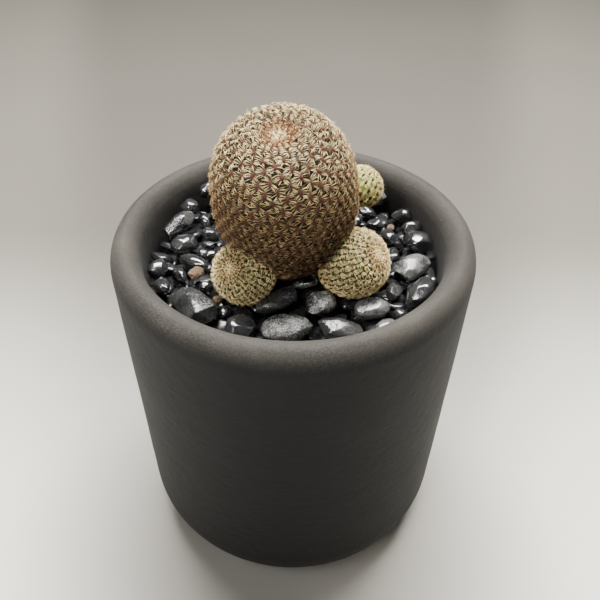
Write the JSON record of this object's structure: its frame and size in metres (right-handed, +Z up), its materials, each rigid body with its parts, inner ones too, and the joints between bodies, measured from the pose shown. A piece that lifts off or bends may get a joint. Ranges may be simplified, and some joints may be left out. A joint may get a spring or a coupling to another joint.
{
  "type": "potted round cactus",
  "caption": "Small round clustering cactus with offsets, planted in a straight matt black clay pot and dressed with polished black pebbles.",
  "frame": {"origin": "centre of the pot's foot, on the surface it stands on", "axes": "+Z up the pot's axis; -Y is the plant's front, the side it leans to; +X is the side of the larger front offset"},
  "size_m": [0.0798, 0.0798, 0.1153],
  "materials": {
    "black_clay": "matt black fired clay with a faint warm sheen on the rim, fine turning marks and a few specks",
    "woven_mesh": "dark grey moulded drainage mesh",
    "soil": "dry gritty cactus soil, dark brown with pale grit",
    "pebble_bed": "mass of small polished black pebbles",
    "polished_pebble": "tumbled black stone, from glossy to satin with fine grain",
    "tan_grain": "rough tan mineral grain",
    "spined_stem": "grey-green skin under dense comb-like cream spines, with dark red-brown felt on each cushion",
    "spined_offset": "pale green skin under short cream spines with small red-brown dots",
    "young_offset": "bright green young skin, bare low down, with pale yellow spines at its tip"
  },
  "bodies": {
    "root": {"drain_mesh": "woven_mesh", "gravel_bed": "pebble_bed", "main_stem": "spined_stem", "offset_back_right": "young_offset", "offset_front_left": "spined_offset", "offset_front_right": "spined_offset", "pebble_01": "polished_pebble", "pebble_02": "polished_pebble", "pebble_03": "polished_pebble", "pebble_04": "polished_pebble", "pebble_05": "polished_pebble", "pebble_06": "polished_pebble", "pebble_07": "polished_pebble", "pebble_08": "polished_pebble", "pebble_09": "polished_pebble", "pebble_10": "polished_pebble", "pebble_11": "polished_pebble", "pebble_12": "polished_pebble", "pebble_13": "polished_pebble", "pebble_14": "polished_pebble", "pebble_15": "polished_pebble", "pebble_16": "polished_pebble", "pebble_17": "polished_pebble", "pebble_18": "polished_pebble", "pebble_19": "polished_pebble", "pebble_20": "polished_pebble", "pebble_21": "polished_pebble", "pebble_22": "polished_pebble", "pebble_23": "polished_pebble", "pebble_24": "polished_pebble", "pebble_25": "polished_pebble", "pebble_26": "polished_pebble", "pebble_27": "polished_pebble", "pebble_28": "polished_pebble", "pebble_29": "polished_pebble", "pebble_30": "polished_pebble", "pebble_31": "polished_pebble", "pebble_32": "polished_pebble", "pebble_33": "polished_pebble", "pebble_34": "polished_pebble", "pebble_35": "polished_pebble", "pebble_36": "polished_pebble", "pebble_37": "polished_pebble", "pebble_38": "polished_pebble", "pebble_39": "polished_pebble", "pebble_40": "polished_pebble", "pebble_41": "polished_pebble", "pebble_42": "polished_pebble", "pebble_43": "polished_pebble", "pebble_44": "polished_pebble", "pebble_45": "polished_pebble", "pebble_46": "polished_pebble", "pebble_47": "polished_pebble", "pot": "black_clay", "potting_soil": "soil", "substrate_grain_01": "tan_grain", "substrate_grain_02": "tan_grain", "substrate_grain_03": "tan_grain"}
  },
  "joints": []
}
